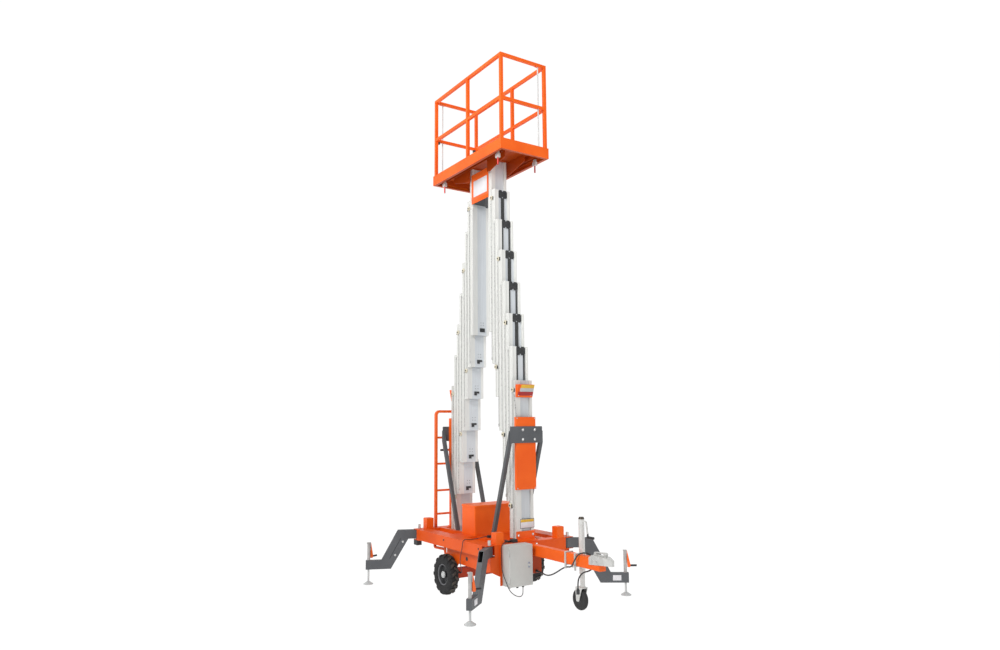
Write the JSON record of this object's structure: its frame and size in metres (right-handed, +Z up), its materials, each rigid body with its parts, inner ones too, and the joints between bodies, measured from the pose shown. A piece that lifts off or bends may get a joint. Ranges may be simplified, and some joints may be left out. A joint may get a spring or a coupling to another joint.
{
  "type": "towable aerial work platform",
  "caption": "Trailer-mounted lift with twin telescopic aluminium masts, a guarded work deck, folding outriggers, tow bar, jockey wheel, ladder and control box.",
  "frame": {"origin": "on the ground under the middle of the overall length and width, standing on its outriggers", "axes": "+X towards the tow coupling, +Z up along the masts"},
  "size_m": [3.1862, 2.2569, 6.11],
  "materials": {
    "orange_paint": "gloss coat",
    "shaded_orange": "gloss coat",
    "grey_paint": "satin coat",
    "box_paint": "satin coat",
    "anodised": "clear anodised",
    "zinc": "zinc plated",
    "black_steel": "oiled",
    "black_plastic": "matt",
    "tyre_rubber": "matt rubber",
    "rim_paint": "satin coat"
  },
  "bodies": {
    "chassis": {"chassis_frame": "orange_paint", "deck_sockets": "orange_paint", "axle_beam": "shaded_orange", "tow_bar": "orange_paint", "tow_coupling": "zinc", "jockey_clamps": "zinc", "jockey_tube": "zinc", "outrigger_pins": "zinc", "mast_base": "anodised", "mast_covers": "orange_paint", "mast_braces": "grey_paint", "ladder": "orange_paint", "power_box": "orange_paint", "control_box": "box_paint", "rear_lamps": "black_plastic", "cable_glands": "black_plastic", "box_cable": "black_plastic", "axle_cable": "black_plastic", "trailer_hose": "black_plastic", "trailer_plug": "black_plastic"},
    "wheel_near": {"tyre_near": "tyre_rubber", "rim_near": "rim_paint"},
    "wheel_far": {"tyre_far": "tyre_rubber", "rim_far": "rim_paint"},
    "jockey_leg": {"jockey_leg": "zinc"},
    "jockey_fork": {"jockey_fork": "zinc"},
    "jockey_wheel": {"jockey_wheel": "tyre_rubber"},
    "outrigger_front_near": {"outrigger_arm_front_near": "grey_paint", "outrigger_jack_front_near": "zinc"},
    "foot_front_near": {"outrigger_foot_front_near": "zinc"},
    "outrigger_front_far": {"outrigger_arm_front_far": "grey_paint", "outrigger_jack_front_far": "zinc"},
    "foot_front_far": {"outrigger_foot_front_far": "zinc"},
    "outrigger_rear_near": {"outrigger_arm_rear_near": "grey_paint", "outrigger_jack_rear_near": "zinc"},
    "foot_rear_near": {"outrigger_foot_rear_near": "zinc"},
    "outrigger_rear_far": {"outrigger_arm_rear_far": "grey_paint", "outrigger_jack_rear_far": "zinc"},
    "foot_rear_far": {"outrigger_foot_rear_far": "zinc"},
    "stage_2": {"mast_section_2": "anodised", "lift_chain_2": "black_steel"},
    "stage_3": {"mast_section_3": "anodised", "lift_chain_3": "black_steel"},
    "stage_4": {"mast_section_4": "anodised", "lift_chain_4": "black_steel"},
    "stage_5": {"mast_section_5": "anodised", "lift_chain_5": "black_steel"},
    "stage_6": {"mast_section_6": "anodised", "lift_chain_6": "black_steel"},
    "stage_7": {"mast_section_7": "anodised", "lift_chain_7": "black_steel"},
    "stage_8": {"mast_section_8": "anodised", "deck": "orange_paint", "guardrail": "orange_paint", "tie_rods": "zinc", "deck_clamps": "zinc", "head_box": "orange_paint", "gate_catches": "black_plastic"},
    "gate": {"gate": "orange_paint"},
    "control_door": {"control_door": "box_paint"}
  },
  "joints": [
    {"name": "mast_slide_2", "type": "slide", "parent": "chassis", "child": "stage_2", "axis": [0, 0, 1], "range_m": [-0.365, 1.3]},
    {"name": "mast_slide_3", "type": "slide", "parent": "stage_2", "child": "stage_3", "axis": [0, 0, 1], "range_m": [-0.365, 1.3]},
    {"name": "mast_slide_4", "type": "slide", "parent": "stage_3", "child": "stage_4", "axis": [0, 0, 1], "range_m": [-0.365, 1.3]},
    {"name": "mast_slide_5", "type": "slide", "parent": "stage_4", "child": "stage_5", "axis": [0, 0, 1], "range_m": [-0.365, 1.3]},
    {"name": "mast_slide_6", "type": "slide", "parent": "stage_5", "child": "stage_6", "axis": [0, 0, 1], "range_m": [-0.365, 1.3]},
    {"name": "mast_slide_7", "type": "slide", "parent": "stage_6", "child": "stage_7", "axis": [0, 0, 1], "range_m": [-0.365, 1.3]},
    {"name": "mast_slide_8", "type": "slide", "parent": "stage_7", "child": "stage_8", "axis": [0, 0, 1], "range_m": [-0.365, 1.3]},
    {"name": "outrigger_swing_front_near", "type": "hinge", "parent": "chassis", "child": "outrigger_front_near", "pos_m": [0.27811, -0.515, 0.56], "axis": [0, 0, 1], "range_deg": [-25.6, 49.4]},
    {"name": "jack_front_near", "type": "slide", "parent": "outrigger_front_near", "child": "foot_front_near", "axis": [0, 0, 1], "range_m": [-0.12, 0.1]},
    {"name": "outrigger_swing_front_far", "type": "hinge", "parent": "chassis", "child": "outrigger_front_far", "pos_m": [0.27811, 0.515, 0.56], "axis": [0, 0, 1], "range_deg": [-54.2, 20.8]},
    {"name": "jack_front_far", "type": "slide", "parent": "outrigger_front_far", "child": "foot_front_far", "axis": [0, 0, 1], "range_m": [-0.12, 0.1]},
    {"name": "outrigger_swing_rear_near", "type": "hinge", "parent": "chassis", "child": "outrigger_rear_near", "pos_m": [-1.29189, -0.515, 0.56], "axis": [0, 0, 1], "range_deg": [-66, 9]},
    {"name": "jack_rear_near", "type": "slide", "parent": "outrigger_rear_near", "child": "foot_rear_near", "axis": [0, 0, 1], "range_m": [-0.12, 0.1]},
    {"name": "outrigger_swing_rear_far", "type": "hinge", "parent": "chassis", "child": "outrigger_rear_far", "pos_m": [-1.29189, 0.515, 0.56], "axis": [0, 0, 1], "range_deg": [-9, 66]},
    {"name": "jack_rear_far", "type": "slide", "parent": "outrigger_rear_far", "child": "foot_rear_far", "axis": [0, 0, 1], "range_m": [-0.12, 0.1]},
    {"name": "wheel_spin_near", "type": "hinge", "parent": "chassis", "child": "wheel_near", "pos_m": [-0.50689, -0.583, 0.222], "axis": [0, 1, 0], "continuous": true},
    {"name": "wheel_spin_far", "type": "hinge", "parent": "chassis", "child": "wheel_far", "pos_m": [-0.50689, 0.583, 0.222], "axis": [0, 1, 0], "continuous": true},
    {"name": "jockey_raise", "type": "slide", "parent": "chassis", "child": "jockey_leg", "axis": [0, 0, 1], "range_m": [-0.04, 0.085]},
    {"name": "jockey_swivel", "type": "hinge", "parent": "jockey_leg", "child": "jockey_fork", "pos_m": [1.03811, 0.092, 0.26], "axis": [0, 0, 1], "continuous": true},
    {"name": "jockey_spin", "type": "hinge", "parent": "jockey_fork", "child": "jockey_wheel", "pos_m": [0.99811, 0.092, 0.145], "axis": [0, 1, 0], "continuous": true},
    {"name": "gate_slide", "type": "slide", "parent": "stage_8", "child": "gate", "axis": [0, 0, 1], "range_m": [0, 0.42]},
    {"name": "control_door_hinge", "type": "hinge", "parent": "chassis", "child": "control_door", "pos_m": [0.45441, -0.389, 0.42], "axis": [0, 0, 1], "range_deg": [-110, 0]}
  ],
  "couplings": [
    {"joint": "mast_slide_3", "follows": "mast_slide_2", "ratio": 1},
    {"joint": "mast_slide_4", "follows": "mast_slide_2", "ratio": 1},
    {"joint": "mast_slide_5", "follows": "mast_slide_2", "ratio": 1},
    {"joint": "mast_slide_6", "follows": "mast_slide_2", "ratio": 1},
    {"joint": "mast_slide_7", "follows": "mast_slide_2", "ratio": 1},
    {"joint": "mast_slide_8", "follows": "mast_slide_2", "ratio": 1}
  ]
}
